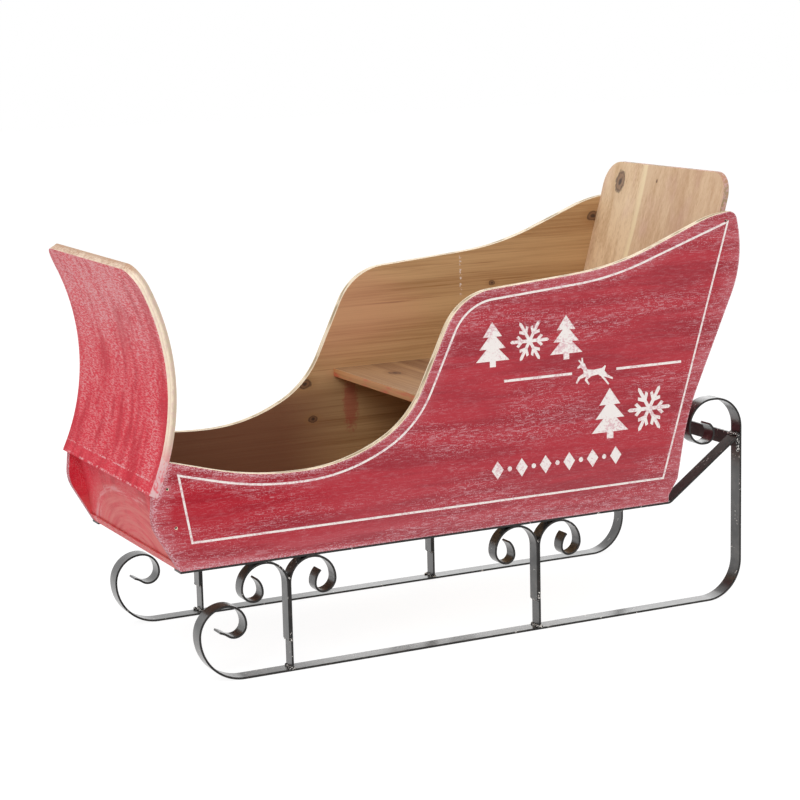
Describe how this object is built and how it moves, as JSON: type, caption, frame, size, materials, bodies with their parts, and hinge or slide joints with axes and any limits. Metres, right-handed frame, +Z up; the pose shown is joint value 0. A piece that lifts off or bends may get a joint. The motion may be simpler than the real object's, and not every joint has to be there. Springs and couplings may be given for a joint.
{
  "type": "decorative sleigh",
  "caption": "Decorative wooden sleigh: painted scroll-cut side panels, bent dash, plank seat and back board on a flat-bar iron frame with curled runners and scroll braces.",
  "frame": {"origin": "on the ground, under the middle of the sleigh's length and width", "axes": "+X towards the dash, +Y to the sleigh's left, +Z up"},
  "size_m": [0.924, 0.346, 0.62],
  "materials": {
    "panel_paint": "whitewashed red paint on plywood",
    "front_paint": "thin whitewashed red paint on plywood",
    "bare_wood": "clear oiled, knotty",
    "iron": "satin black, welds left showing"
  },
  "bodies": {
    "root": {"side_panel_left": "panel_paint", "side_panel_right": "panel_paint", "floor_board": "bare_wood", "front_board": "front_paint", "dash": "front_paint", "seat": "bare_wood", "back_board": "bare_wood", "runner_left": "iron", "runner_right": "iron", "body_bar_left": "iron", "body_bar_right": "iron", "rear_cross_bar": "iron", "post_front_left": "iron", "post_front_right": "iron", "post_rear_left": "iron", "post_rear_right": "iron", "scroll_front_left_fore": "iron", "scroll_front_right_fore": "iron", "scroll_rear_left_fore": "iron", "scroll_rear_right_fore": "iron"}
  },
  "joints": []
}
